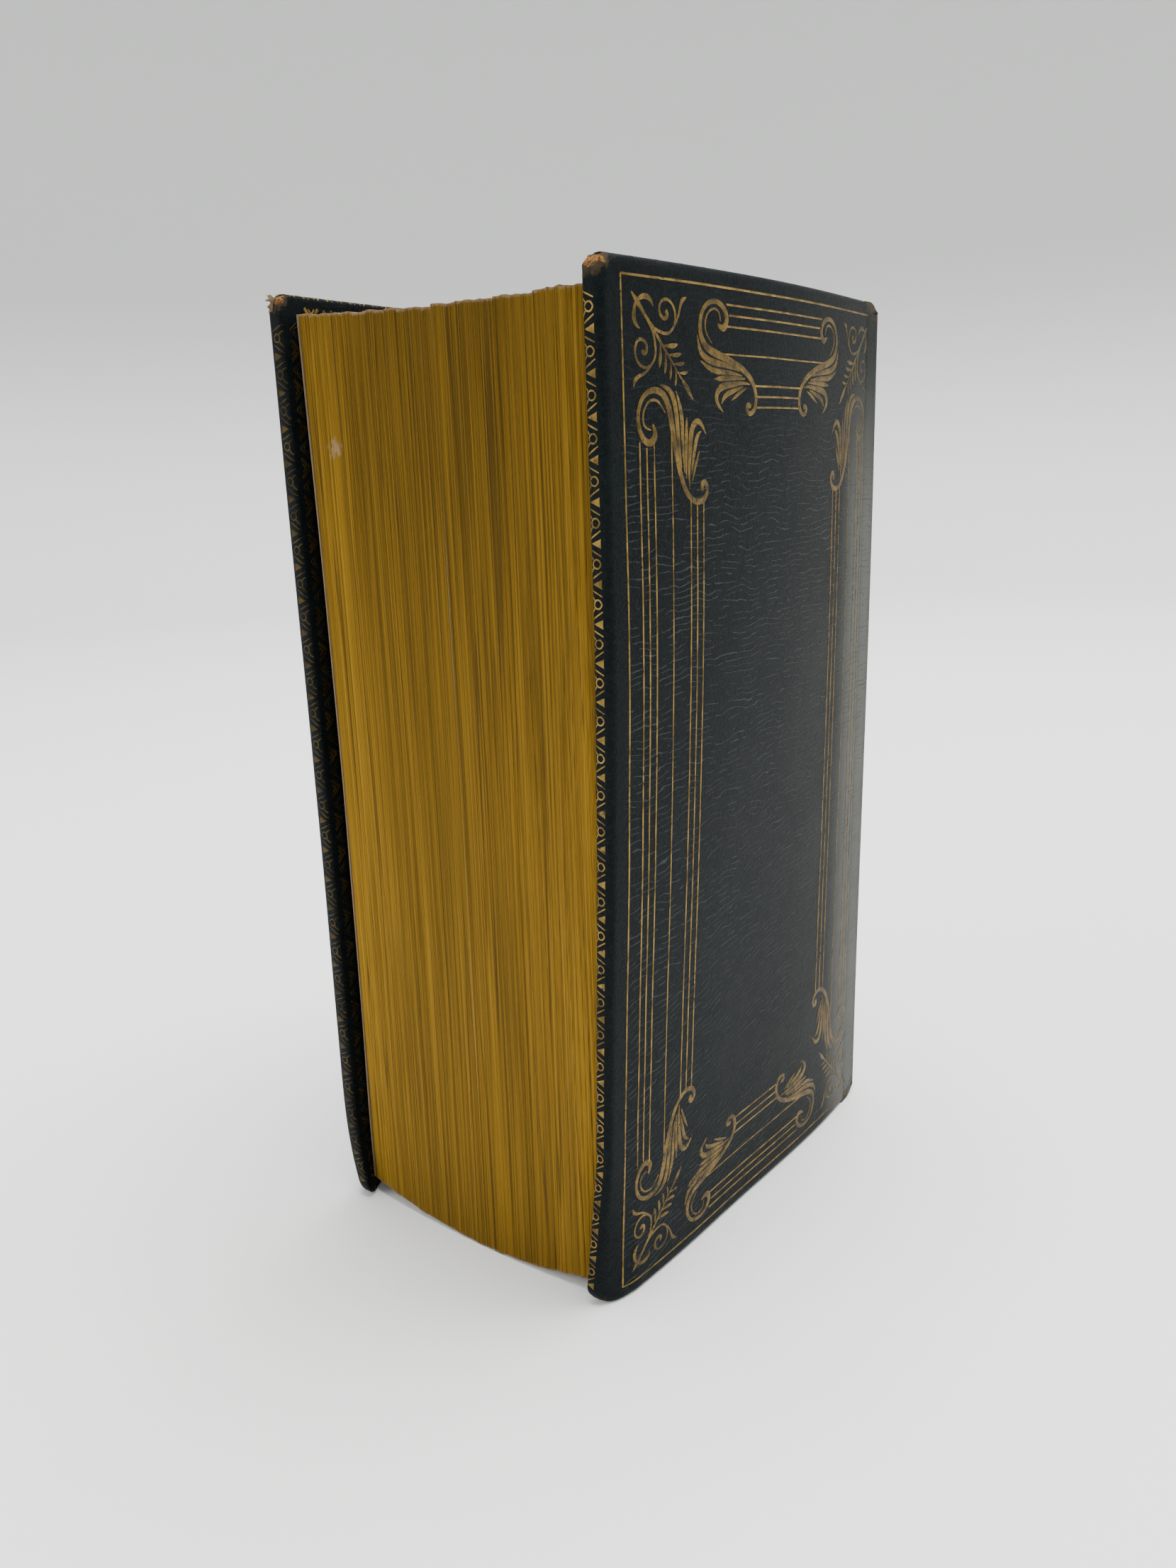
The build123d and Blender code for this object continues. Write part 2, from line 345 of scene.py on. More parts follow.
def leaf_edge_finish():
    """Gilt on the cut edges of the leaves: hundreds of fine lines, darker in streaks."""
    finish = Finish("gilt leaf edges")
    gilt = Vector(colours().gilt)
    lines = finish.noise(0.22, (1, 0.10, 0.003), 2.0, 0.7).step(0.25, 0.75)
    leaves = finish.noise(0.45, (1, 0.10, 0.006), 1.0, 0.5, shift=4.0)
    broad = finish.noise(9.0, (1, 0.4, 0.10), 2.0, 0.5, shift=9.0)
    gaps = abs(finish.noise(2.1, (1, 0.3, 0.012), 1.0, shift=2.0) - 0.5)
    gap = (1 - gaps.step(0.0, 0.020)) * broad.step(0.34, 0.54)
    side = (abs(finish.axis("X")) / HALF_TEXT).step(0.40, 0.95)
    high = finish.axis("Z").step(60.0, TEXT_HIGH)
    tone = (lines - 0.5) * 0.54 + (leaves - 0.5) * 0.36 + (broad - 0.5) * 0.34
    tone = tone + side * 0.16 - high * 0.19 + 0.45
    bright = finish.node("ValToRGB", {"stops": (
        (0.0, gilt * 0.20), (0.30, gilt * 0.55), (0.62, gilt * 1.05), (1.0, gilt * 1.75))}, {0: tone})
    colour = finish.mix(gap * 0.7, bright, GAP_COLOUR)
    torn = finish.noise(0.6, (1, 1, 0.6), 3.0)
    frayed = 1 - (finish.attribute("nearest_end") - torn * 0.6).step(-0.20, 0.12)
    colour = finish.mix(frayed * 0.8, colour, finish.mix(torn, *TORN_PAPER))
    scuff = finish.node("VectorMath", {"operation": "DISTANCE"}, {0: finish.place(), 1: SCUFF}, 1)
    pale = 1 - (scuff + (torn - 0.5) * 5).step(0.2, 1.7)
    colour = finish.mix(pale * 0.45, colour, SCUFF_COLOUR)
    return finish.surface(
        base_color=colour, metallic=0.45 - frayed * 0.40, roughness=0.44 + lines * 0.16 + frayed * 0.2,
        specular_ior_level=0.14, normal=finish.bump(lines * 0.4 + leaves * 0.6 - gap * 0.6, 0.06))


def paper_finish(name, tint, stain):
    """Old paper: fibres, foxing and a browner margin."""
    finish = Finish(name)
    tint = Vector(tint)
    fibre = finish.noise(0.5, (1, 1, 1), 4.0, 0.6)
    cloud = finish.noise(22.0, detail=3.0, shift=6.0)
    spots = finish.noise(3.0, detail=3.0, shift=1.0).step(0.66, 0.74)
    margin = (finish.axis("Y") - TEXT_FORE_Y).step(14.0, 0.0)
    tone = finish.mix(cloud, tint * 0.86, tint * 1.08)
    tone = finish.mix(spots * 0.35, tone, stain)
    tone = finish.mix(margin * 0.35, tone, stain)
    return finish.surface(
        base_color=tone, roughness=0.78 + fibre * 0.12, specular_ior_level=0.3,
        normal=finish.bump(fibre, 0.03))


def board_finish(name="pulp board", age=1.0):
    """Grey-brown pulp board, seen only where leather has worn away. A low age value is a darker board."""
    finish = Finish(name)
    pulp = finish.noise(0.8, detail=4.0, roughness=0.7)
    layers = finish.noise(0.35, (1, 0.05, 0.05), 2.0, shift=2.0)
    colour = finish.mix(pulp, Vector((0.20, 0.125, 0.065)) * age, Vector((0.40, 0.27, 0.14)) * age)
    return finish.surface(
        base_color=colour, roughness=0.85, normal=finish.bump(pulp * 0.6 + layers * 0.4, 0.06))


WAVE_PERIOD = 0.314  # at this scale the wave texture has one band in each unit


def thread_finish(name, first, second, turn):
    """Wound or twisted thread: turns of that width along the spine."""
    finish = Finish(name)
    winding = finish.node("TexWave", {"bands_direction": "X"}, {
        "Vector": finish.place((1 / turn, 0.2 / turn, 0.5 / turn)), "Scale": WAVE_PERIOD, "Distortion": 0.6,
        "Detail": 1.0})
    fuzz = finish.noise(0.25, detail=3.0)
    colour = finish.mix(winding.step(0.45, 0.55), first, second)
    return finish.surface(
        base_color=colour, roughness=0.62 + fuzz * 0.2, sheen_weight=0.25,
        normal=finish.bump(winding * 0.7 + fuzz * 0.3, 0.08))


# the colour of the wall's painted shade
WALL_SHADE_COLOUR = (0.46, 0.473, 0.46)
WALL_SHADE_HEIGHT = 340.0  # the height at which the sweep's painted shade is full


def stage_finish():
    """A pale floor with painted shade that darkens it as it rises into the wall."""
    finish = Finish("pale sweep")
    soft = finish.noise(400.0, detail=1.0)
    # painted shade: the sweep is darkened in colour as it rises into the wall
    wall = finish.axis("Z").step(0.0, WALL_SHADE_HEIGHT)
    floor = finish.mix(soft, (0.90, 0.905, 0.89), (0.93, 0.935, 0.92))
    return finish.surface(
        base_color=finish.mix(wall, floor, WALL_SHADE_COLOUR), roughness=0.9, specular_ior_level=0.1)


MATERIALS = {}


def finish_named(name):
    """Each material is made once, when the first piece needs it."""
    makers = {
        "leather": lambda: leather_finish("creased leather"),
        "spine leather": lambda: leather_finish("creased spine leather", "x"),
        "gold": lambda: tooling_finish("tooling gold"),
        "engraved gold": lambda: tooling_finish("engraved tooling gold", 0.68, 0.75),
        # darker gold: painted shade on the fore turn-ins; the front cover's fore edge roll takes it too
        "darker gold": lambda: tooling_finish("darker tooling gold", 0.24),
        "leaf edges": leaf_edge_finish,
        "paper": lambda: paper_finish("leaf paper", colours().paper, (0.40, 0.27, 0.14)),
        "endpaper": lambda: paper_finish("endpaper", colours().endpaper, (0.13, 0.086, 0.05)),
        "lining": lambda: paper_finish("spine lining paper", (0.40, 0.31, 0.20), (0.22, 0.15, 0.09)),
        "board": board_finish,
        "frayed board": lambda: board_finish("frayed board", 0.42),
        "silk": lambda: thread_finish("endband silk", (0.50, 0.33, 0.08), (0.22, 0.03, 0.025), 0.9),
        "cord": lambda: thread_finish("hemp cord", (0.42, 0.32, 0.18), (0.55, 0.44, 0.27), 1.1),
        "thread": lambda: thread_finish("linen thread", (0.60, 0.53, 0.40), (0.70, 0.64, 0.50), 0.5),
    }
    if name not in MATERIALS:
        MATERIALS[name] = makers[name]()
    return MATERIALS[name]


# ---- Mesh helpers
SHARP_ANGLE = 38
FREE_REACH = 50  # how far from the joint a cover is wholly free to warp
JOINT_LEAN = 0.3  # the lean at the joint, as a share of the lean at the fore edge
LEAN_HEIGHT = 120  # the back cover leans below this
FLARE_HEAD = 0.75
FLARE_TAIL = 1.3
FLARE_HEIGHT = 75  # the front cover's tail flares below this
HEAD_RISE = 0.69
SIDE_RISE = 0.39  # how much more the front cover has risen, and less the back cover
FORE_RISE = 0.35  # how much more the head has risen at FORE_RISE_REACH in front of the middle
FORE_RISE_REACH = 40


def settle(place):
    """The old book has warped as a whole: its tail leans, its free corners flare and its head has risen."""
    x, y, z = place / M
    free = smooth((JOINT_Y - y) / FREE_REACH)
    head = max(0, 2 * z / HEIGHT - 1) ** 2
    share = x / HINGE_X
    if x > 0:
        lean = shape().lean / M * (JOINT_LEAN + (1 - JOINT_LEAN) * free)
        x += share * (FLARE_HEAD * free * head - lean * smooth(1 - z / LEAN_HEIGHT))
    else:
        x += share * free * (FLARE_HEAD * head + FLARE_TAIL * smooth(1 - z / FLARE_HEIGHT))
    z += z / HEIGHT * (HEAD_RISE - SIDE_RISE * share - FORE_RISE * y / FORE_RISE_REACH)
    return Vector((x, y, z)) * M


def to_mesh(name, work):
    """Turns a bmesh into a mesh and frees it."""
    mesh = bpy.data.meshes.new(name)
    work.to_mesh(mesh)
    work.free()
    return mesh


def linked(name, data):
    """A new object in the scene."""
    made = bpy.data.objects.new(name, data)
    bpy.context.scene.collection.objects.link(made)
    return made


def piece(name, work, finishes, body, replaced=(), outward=None):
    """Makes the bmesh an object that rides on a body and takes the place of some CAD nodes. An open skin is
    told which way is outward."""
    for vert in work.verts:
        vert.co = settle(vert.co)
    work.normal_update()
    bmesh.ops.recalc_face_normals(work, faces=work.faces[:])
    if outward:
        facing = sum((face.normal * face.calc_area() for face in work.faces), Vector())
        if facing.dot(outward) < 0:
            bmesh.ops.reverse_faces(work, faces=work.faces[:])
    mesh = to_mesh(name, work)
    made = linked(name, mesh)
    for finish in finishes:
        mesh.materials.append(finish_named(finish))
    mesh.shade_smooth()
    mesh.set_sharp_from_angle(angle=math.radians(SHARP_ANGLE))
    if body:
        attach(made, body)
    if replaced:
        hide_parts(*replaced)
    return made


def cut_evenly(work, axis, places):
    """Cuts the whole mesh across one axis at each place."""
    direction = Vector((0, 0, 0))
    direction[axis] = 1
    for place in places:
        geometry = work.verts[:] + work.edges[:] + work.faces[:]
        bmesh.ops.bisect_plane(
            work, geom=geometry, dist=1e-6, plane_co=direction * place, plane_no=direction)


def cuts_between(low, high, count):
    """The places that cut a length into so many equal pieces."""
    return [low + (high - low) * k / count for k in range(1, count)]


def slab(low, high, cuts):
    """A box between two corners, cut into an even grid: so many pieces along each axis."""
    work = bmesh.new()
    low, high = Vector(low), Vector(high)
    size = high - low
    matrix = Matrix.Translation((low + high) / 2) @ Matrix.Diagonal((*size, 1))
    bmesh.ops.create_cube(work, size=1.0, matrix=matrix)
    for axis, count in enumerate(cuts):
        cut_evenly(work, axis, cuts_between(low[axis], high[axis], count))
    return work


STROKE_FLATNESS = 0.4


def stroke_mesh(strokes, lift):
    """Tapered strokes as one bmesh. A stroke is a list of (across, along, half width)."""
    curve = bpy.data.curves.new("strokes", "CURVE")
    curve.dimensions = "3D"
    curve.bevel_depth = 1.0
    curve.bevel_resolution = 1
    curve.use_fill_caps = True
    curve.resolution_u = 3
    for points in strokes:
        spline = curve.splines.new("NURBS")
        spline.points.add(len(points) - 1)
        for point, (across, along, half_width) in zip(spline.points, points):
            point.co = (across, along, 0, 1)
            point.radius = half_width
        spline.order_u = min(3, len(points))
        spline.use_endpoint_u = True
    holder = bpy.data.objects.new("strokes", curve)
    mesh = bpy.data.meshes.new_from_object(holder)
    bpy.data.objects.remove(holder)
    bpy.data.curves.remove(curve)
    work = bmesh.new()
    work.from_mesh(mesh)
    bpy.data.meshes.remove(mesh)
    bmesh.ops.remove_doubles(work, verts=work.verts[:], dist=1e-5)
    for vert in work.verts:
        vert.co.z = max(min(vert.co.z * STROKE_FLATNESS, lift), -lift)
    return work


# ---- The cover's surface
def ripple(u, v, side):
    """Slow unevenness of an old cover, in millimetres."""
    return 0.10 * noise.noise(Vector((u / 26, v / 26, 5.0 * side)))


LIP = 2.6  # how far the fore edge curls in at the tail
LIP_REACH = 7.0
LIP_HEIGHT = 25.0
LIP_POWER = {1: 1.0, -1: 3.0}  # for each side: a high power keeps the curl close to the corner


def bend(u, v, offset, side):
    """A point of the bowed and curled cover, in metres."""
    y = FORE_Y + u
    x = BOW_X + math.sqrt((BOW_RADIUS + offset) ** 2 - (y - BOW_Y) ** 2)
    middle = 1 - (2 * v / HEIGHT - 1) ** 2
    free = smooth(1 - u / WIDTH)
    x += middle * free * shape().curl / M + ripple(u, v, side) * free
    low = max(0, 1 - max(v, 0) / LIP_HEIGHT) ** LIP_POWER[side]
    x -= LIP * low * max(0, 1 - max(u, 0) / LIP_REACH) ** 2
    return Vector((side * x, y, v)) * M


def rounded(u, v):
    """Rounds the two fore corners in the plane of the cover, more at the tail."""
    radius = TAIL_CORNER if v < HEIGHT / 2 else HEAD_CORNER
    across = radius - u
    along = radius - min(v, HEIGHT - v)
    if across > 0 and along > 0:
        share = max(across, along) / math.hypot(across, along)
        u = radius - across * share
        inset = radius - along * share
        v = inset if v < HEIGHT / 2 else HEIGHT - inset
    return u, v


def recess(offset):
    """How far a board's rounded edge falls back at that offset."""
    outer, inner = offset - (THICK - OUTER_ROUND), INNER_ROUND - offset
    if outer > 0:
        return OUTER_ROUND - math.sqrt(max(OUTER_ROUND**2 - outer**2, 0))
    if inner > 0:
        return INNER_ROUND - math.sqrt(max(INNER_ROUND**2 - inner**2, 0))
    return 0.0


# Each of these puts a point, given along one of the cover's surfaces with its lift, on the bowed cover.
def on_outer_face(u, v, lift, side):
    return bend(u, v, THICK + lift, side)


def on_inner_face(u, v, lift, side):
    return bend(u, v, -lift, side)


def on_fore_edge(offset, v, lift, side):
    return bend(recess(offset) - lift, v, offset, side)


def on_head_edge(offset, u, lift, side):
    return bend(u, HEIGHT - recess(offset) + lift, offset, side)


def corner_wear(u, v, offset):
    """How worn the leather is: most at the fore corners, some along the free edges."""
    head, tail = math.hypot(u, HEIGHT - v), math.hypot(u, v)
    corner = max(1 - head / 4.0, (1 - tail / 3.6) * 0.5, 0)
    edge = max(1 - min(u, v, HEIGHT - v) / 1.2, 0)
    spine_end = max(1 - math.hypot(WIDTH - u, min(v, HEIGHT - v)) / 6, 0)
    return min(1.0, corner**1.15 + edge * 0.16 + spine_end * 0.15)


EDGE_STRIP = (1.0, 4.6)  # between these, from each free edge, the leather is cut finely
FRAY_START = 0.45  # wear above this frays the leather


def cover_shell(side):
    """The covering leather as an open skin: outer face, three free edges and the turn-ins."""
    work = slab((0, 0, 0), (WIDTH, HEIGHT, THICK), (1, 1, 1))
    for level, radius in ((THICK, OUTER_ROUND), (0, INNER_ROUND)):
        edges = [e for e in work.edges
                 if all(abs(vert.co.z - level) < 1e-4 for vert in e.verts)
                 and min(vert.co.x for vert in e.verts) < WIDTH - 1e-3]
        bmesh.ops.bevel(work, geom=edges, offset=radius, offset_type="OFFSET", segments=4, profile=0.5,
                        affect="EDGES", material=-1)
    near = cuts_between(*EDGE_STRIP, 9)
    inside = EDGE_STRIP[1]
    cut_evenly(work, 0, near + [TURN_IN] + cuts_between(inside, WIDTH, 36))
    far = [HEIGHT - place for place in near]
    wide = cuts_between(inside, HEIGHT - inside, 60)
    cut_evenly(work, 1, near + far + [TURN_IN, HEIGHT - TURN_IN] + wide)
    window = [f for f in work.faces
              if f.calc_center_median().z < 1e-4 and f.calc_center_median().x > TURN_IN
              and TURN_IN < f.calc_center_median().y < HEIGHT - TURN_IN]
    joint_end = [f for f in work.faces if f.calc_center_median().x > WIDTH - 1e-4]
    bmesh.ops.delete(work, geom=window + joint_end, context="FACES")
    bmesh.ops.remove_doubles(work, verts=work.verts[:], dist=1e-4)
    wear = work.verts.layers.float.new("wear")
    for vert in work.verts:
        u, v, offset = vert.co
        vert[wear] = corner_wear(u, v, offset)
        fray = max(0.0, vert[wear] - FRAY_START) * 1.1
        push = Vector([noise.noise(vert.co * 1.6 + Vector((9.0 * k, side, 0))) for k in range(3)]) * fray
        u, v = rounded(u, v)
        vert.co = bend(u + push.x, v + push.y, offset + push.z, side)
    return work


def add_solidify(made, thickness):
    """Gives an open skin its thickness, inwards."""
    thicken = made.modifiers.new("thickness", "SOLIDIFY")
    thicken.thickness = thickness * M
    thicken.offset = -1.0


def bent_slab(low, high, cuts, side):
    """A board or a paper inside the cover, between two flat corners (u, v, offset)."""
    work = slab(low, high, cuts)
    for vert in work.verts:
        u, v, offset = vert.co
        u, v = rounded(u - SKIN, v)
        vert.co = bend(u + SKIN, v, offset, side)
    return work


# ---- Tooling
# Each design is in millimetres. A scroll's across runs from the outermost ruled line inwards, and its
# along runs from that line's end towards the corner.
BORDER_ACROSS = 3.7
BORDER_ALONG = 2.3
PATTERN_WIDTH = 82.0
BORDER_HALF = 0.14
SIDE_ACROSS = 6.4  # where across starts for the scrolls and lines along the fore edge and joint
SIDE_END = 22.0  # where along starts for them, from the head and from the tail
END_ACROSS = 4.2  # the same two for the head and tail
END_END = 26.2
END_SQUEEZE = 0.96  # how wide the pattern is at the head and tail, as a share of its width at the sides
SWELL = 1.05
RULES = (
    (0.2, 0.0, 0.13), (1.6, -0.7, 0.13), (3.1, 0.0, 0.13), (6.8, 2.0, 0.11),
    (10.9, -7.4, 0.13), (12.4, -8.2, 0.13), (13.9, -8.1, 0.13))

SCROLL = (
    ((2.9, 2.2, 0.15), (3.5, 1.2, 0.42), (3.2, 0.3, 0.48), (2.0, -0.3, 0.44), (0.5, 0.7, 0.38),
     (-0.2, 2.8, 0.30), (0.5, 5.1, 0.30), (2.2, 6.3, 0.34), (4.3, 6.4, 0.40), (5.9, 5.3, 0.48),
     (6.7, 3.2, 0.50), (7.2, 0.8, 0.46), (7.8, -1.6, 0.42), (8.7, -4.4, 0.42), (10.1, -6.9, 0.38),
     (12.2, -8.1, 0.38), (14.2, -7.7, 0.36), (15.0, -6.3, 0.32), (14.3, -5.2, 0.34), (13.4, -5.7, 0.42),
     (13.8, -6.5, 0.28)),
    ((2.5, 1.5, 0.10), (1.3, 1.6, 0.15), (0.8, 3.0, 0.16), (1.5, 4.6, 0.16), (3.0, 5.3, 0.16),
     (4.5, 4.9, 0.16), (5.5, 3.6, 0.10)),
    ((4.6, 7.0, 0.10), (6.4, 6.7, 0.34), (7.5, 5.2, 0.42), (8.0, 3.2, 0.42), (8.2, 1.0, 0.36),
     (8.5, -1.2, 0.28), (8.9, -3.4, 0.10)),
    ((7.9, 6.3, 0.08), (8.8, 4.5, 0.34), (9.2, 2.4, 0.36), (9.2, 0.2, 0.30), (9.3, -2.0, 0.22),
     (9.6, -4.0, 0.08)),
    ((10.2, 3.1, 0.08), (10.1, 1.6, 0.34), (10.0, -0.2, 0.36), (9.9, -2.4, 0.28), (10.0, -4.8, 0.10)),
    ((14.6, 0.9, 0.07), (13.7, 2.2, 0.30), (12.6, 2.7, 0.38), (11.4, 1.9, 0.46), (11.0, 0.2, 0.44),
     (10.8, -2.0, 0.34), (10.5, -4.4, 0.22), (10.7, -6.2, 0.08)),
    ((13.5, 1.3, 0.07), (12.7, 0.9, 0.32), (12.1, -0.3, 0.36), (11.6, -2.2, 0.30), (11.1, -4.2, 0.10)),
    ((13.0, -1.3, 0.07), (12.4, -2.5, 0.26), (11.7, -3.9, 0.24), (11.3, -5.2, 0.08)),
)

# A spray's first number runs from the border's corner inwards along the diagonal, and its second across.
SPRAY_STEM = (
    ((2.7, 0.0, 0.08), (3.6, 0.0, 0.34), (4.8, 0.0, 0.36), (6.4, 0.0, 0.20), (8.0, 0.0, 0.30),
     (8.7, 0.0, 0.42)),
    ((8.4, 0.0, 0.22), (10.5, 0.0, 0.24), (13.0, 0.0, 0.18), (16.8, 0.0, 0.12)),
    ((16.6, 0.0, 0.10), (18.0, 0.1, 0.42), (19.3, 0.0, 0.34), (20.4, 0.0, 0.05)),
)
SPRAY_HALF = (
    ((4.1, 0.1, 0.20), (4.4, 1.1, 0.30), (5.1, 1.9, 0.38), (6.1, 2.2, 0.24), (6.7, 1.9, 0.08)),
    ((8.4, 0.1, 0.20), (10.6, 1.1, 0.20), (11.4, 2.8, 0.18), (10.9, 4.4, 0.18), (9.6, 5.2, 0.19),
     (8.1, 4.9, 0.19), (7.3, 3.7, 0.19), (7.6, 2.6, 0.21), (8.7, 2.2, 0.23), (9.5, 2.8, 0.27),
     (9.3, 3.6, 0.33), (8.7, 3.5, 0.25)),
    ((11.3, 3.4, 0.10), (11.1, 5.0, 0.18), (10.4, 6.2, 0.22), (10.2, 7.2, 0.34), (10.6, 7.9, 0.10)),
)
FERN_LEAVES = 4
FERN_LEAF = ((0.0, 0.15, 0.08), (0.8, 0.9, 0.24), (1.5, 1.7, 0.38), (1.9, 2.4, 0.10))


def spray_strokes():
    strokes = list(SPRAY_STEM)
    for sign in (1, -1):
        for stroke in SPRAY_HALF:
            strokes.append([(p, sign * q, w) for p, q, w in stroke])
        for k in range(FERN_LEAVES):
            start, share = 11.0 + 1.5 * k + 0.35 * sign, 1 - 0.11 * k
            strokes.append([(start + p * share, sign * q * share, w * share) for p, q, w in FERN_LEAF])
    return strokes


def cover_designs():
    """All the tooling of one outer face as strokes in (u, v, half width)."""
    lines, scrolls, sprays = [], [], []
    spray = spray_strokes()
    for flip_u in (False, True):
        for flip_v in (False, True):
            def at(u, v, w):
                return (PATTERN_WIDTH - u if flip_u else u, HEIGHT - v if flip_v else v, w)
            for stroke in SCROLL:
                scrolls.append([at(SIDE_ACROSS + t, SIDE_END - s, w * SWELL) for t, s, w in stroke])
                scrolls.append([
                    at(END_END - s, END_ACROSS + END_SQUEEZE * t, w * SWELL) for t, s, w in stroke])
            for stroke in spray:
                sprays.append([
                    at(BORDER_ACROSS + (p + q) / math.sqrt(2), BORDER_ALONG + (p - q) / math.sqrt(2), w)
                    for p, q, w in stroke])
    for t, s, w in RULES:
        for flip in (False, True):
            across = SIDE_ACROSS + t
            u = PATTERN_WIDTH - across if flip else across
            lines.append(ruled((u, SIDE_END - s), (u, HEIGHT - SIDE_END + s), w))
            across = END_ACROSS + END_SQUEEZE * t
            v = HEIGHT - across if flip else across
            lines.append(ruled((END_END - s, v), (PATTERN_WIDTH - END_END + s, v), w))
    lines += ruled_frame((BORDER_ACROSS, PATTERN_WIDTH - BORDER_ACROSS),
                         (BORDER_ALONG, HEIGHT - BORDER_ALONG), BORDER_HALF)
    return lines, scrolls, sprays


def ruled(start, end, half_width, step=2.5):
    """A straight tooled line, with a slight waver of the hand."""
    length = math.dist(start, end)
    count = max(2, round(length / step))
    points = []
    for k in range(count + 1):
        share = k / count
        u, v = (a + (b - a) * share for a, b in zip(start, end))
        waver = 0.05 * noise.noise(Vector((u / 9, v / 9, 3.0)))
        points.append((u + waver, v + waver, half_width))
    return points


def ruled_frame(sides, ends, half_width):
    """Four ruled lines round a rectangle."""
    return ([ruled((side, ends[0]), (side, ends[1]), half_width) for side in sides]
            + [ruled((sides[0], end), (sides[1], end), half_width) for end in ends])


def ring(across, along, radius, half_width, count=8):
    """A closed stroke round a centre."""
    return [(across + radius * math.cos(2 * math.pi * k / count),
             along + radius * math.sin(2 * math.pi * k / count), half_width) for k in range(count + 1)]


EDGE_GOLD = {1: "gold", -1: "darker gold"}
ROLL_STEP = 5.1
TURN_IN_STEP = 5.6
TURN_IN_LINE = 6.4  # the ruled line inside the turn-in roll
ROLL_LINE = 0.11  # half width of the thin lines in the rolls
ROLL_STROKES = (
    ((1.85, 0.0, 0.62), (1.25, 0.0, 0.36), (0.45, 0.0, 0.03)),
    ((0.10, 0.50, 0.09), (0.9, 1.05, 0.13), (1.85, 1.65, 0.08)),
    ((0.10, 1.35, 0.08), (0.40, 1.70, 0.12), (0.62, 2.05, 0.10)),
    ((0.10, 3.55, 0.08), (0.45, 3.35, 0.12), (0.62, 3.05, 0.10)),
    ((1.85, 3.55, 0.08), (0.9, 4.00, 0.13), (0.10, 4.40, 0.08)))
ROLL_RING = (1.12, 2.55, 0.62)
CHEVRON = (
    ((1.7, -1.45, 0.26), (3.5, 0.0, 0.30)),
    ((1.7, 1.45, 0.26), (3.5, 0.0, 0.30)),
    ((1.8, -0.65, 0.14), (2.6, 0.0, 0.20)),
    ((1.8, 0.65, 0.14), (2.6, 0.0, 0.20)),
    ((3.9, 1.2, 0.06), (1.75, 2.8, 0.13)),
    ((1.75, 2.8, 0.13), (3.9, 4.4, 0.06)),
    ((3.6, 2.1, 0.05), (2.5, 2.45, 0.10), (2.5, 3.15, 0.10), (3.6, 3.5, 0.05)))


def repeats(length, margin, step):
    """Where a roll's pattern starts again, centred on an edge of that length."""
    count = int((length - 2 * margin) / step)
    return [(length - count * step) / 2 + k * step for k in range(count)]


def moved(stroke, far):
    """A stroke moved along its edge."""
    return [(across, far + along, w) for across, along, w in stroke]


EDGE_MARGIN = 1.6


def edge_roll(length):
    """The roll along a board's edge: a triangle, slanting strokes and a ring with two tails."""
    strokes = []
    across, along, radius = ROLL_RING
    for start in repeats(length, EDGE_MARGIN, ROLL_STEP):
        strokes += [moved(stroke, start) for stroke in ROLL_STROKES]
        strokes.append(ring(across, start + along, radius, ROLL_LINE))
    return strokes


def turn_in_roll(length, margin):
    """The roll across a turn-in: thick chevrons that point to the leaves, thin ones between them."""
    strokes = []
    for start in repeats(length, margin, TURN_IN_STEP):
        strokes += [moved(stroke, start) for stroke in CHEVRON]
    strokes.append(ruled((TURN_IN_LINE, margin), (TURN_IN_LINE, length - margin), ROLL_LINE))
    return strokes


def tooled(name, strokes, place, side, body, finish="gold"):
    """Strokes, gold unless told otherwise, laid on one of the cover's surfaces."""
    work = stroke_mesh(strokes, shape().tooling_height / M)
    for vert in work.verts:
        vert.co = place(vert.co.x, vert.co.y, vert.co.z, side)
    return piece(name, work, [finish], body)


FRAYED_FIBRES = 26


def frayed_corner():
    """Board fibres that have burst through the leather at a head corner, fanned out from it."""
    draw = random.Random(5)
    strokes = []
    for _ in range(FRAYED_FIBRES):
        angle = math.radians(draw.uniform(125, 215))
        reach = draw.uniform(0.5, 1.5)
        start = Vector((draw.uniform(0.1, 1.0), HEIGHT - draw.uniform(0.8, 1.9)))
        tip = start + Vector((math.cos(angle), math.sin(angle))) * reach
        middle = (start + tip) / 2 + Vector((draw.uniform(-0.2, 0.2), draw.uniform(-0.2, 0.2)))
        strokes.append([(*start, 0.36), (*middle, 0.30), (*tip, 0.10)])
    return strokes


def on_board_middle(u, v, lift, side):
    """In the middle of a board's thickness, unevenly."""
    return bend(u, v, THICK / 2 + lift + 0.5 * noise.noise(Vector((u * 0.9, v * 0.9, 0))), side)


# ---- Operators: the covers
SKIN_SHARE = 0.85  # the leather is drawn a little thinner, so that it clears the board
BOARD_CUTS = (24, 36, 1)
SLIP_LENGTH = 14
SLIP_HALF = 3.5


